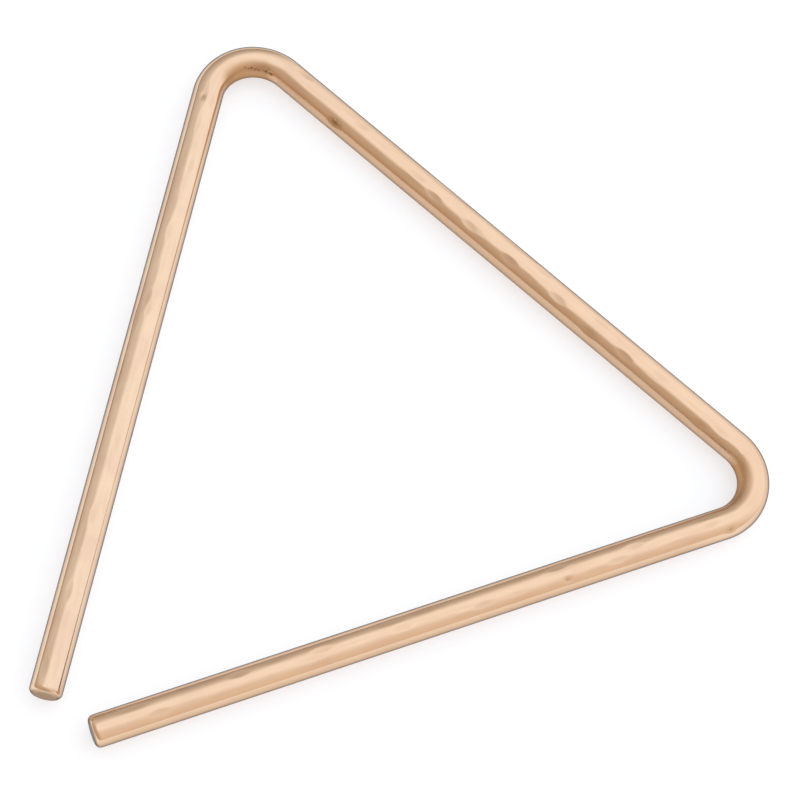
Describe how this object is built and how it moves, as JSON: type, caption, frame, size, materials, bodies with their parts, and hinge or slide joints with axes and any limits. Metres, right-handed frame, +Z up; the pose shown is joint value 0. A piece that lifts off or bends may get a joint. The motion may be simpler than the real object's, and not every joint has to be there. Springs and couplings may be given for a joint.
{
  "type": "percussion triangle",
  "caption": "Hand-hammered bronze percussion triangle: a round bar bent to a triangle with an open corner and bare rounded ends, hung from its top bend and struck to ring.",
  "frame": {"origin": "under the middle of the outline, on the surface that the triangle lies on", "axes": "+Z up out of the triangle's plane, +X along the lower leg from its free end to the right bend, +Y towards the top bend"},
  "size_m": [0.2138, 0.1884, 0.009],
  "materials": {
    "bronze": "hand-hammered, polished"
  },
  "bodies": {
    "root": {"bar": "bronze"}
  },
  "joints": []
}
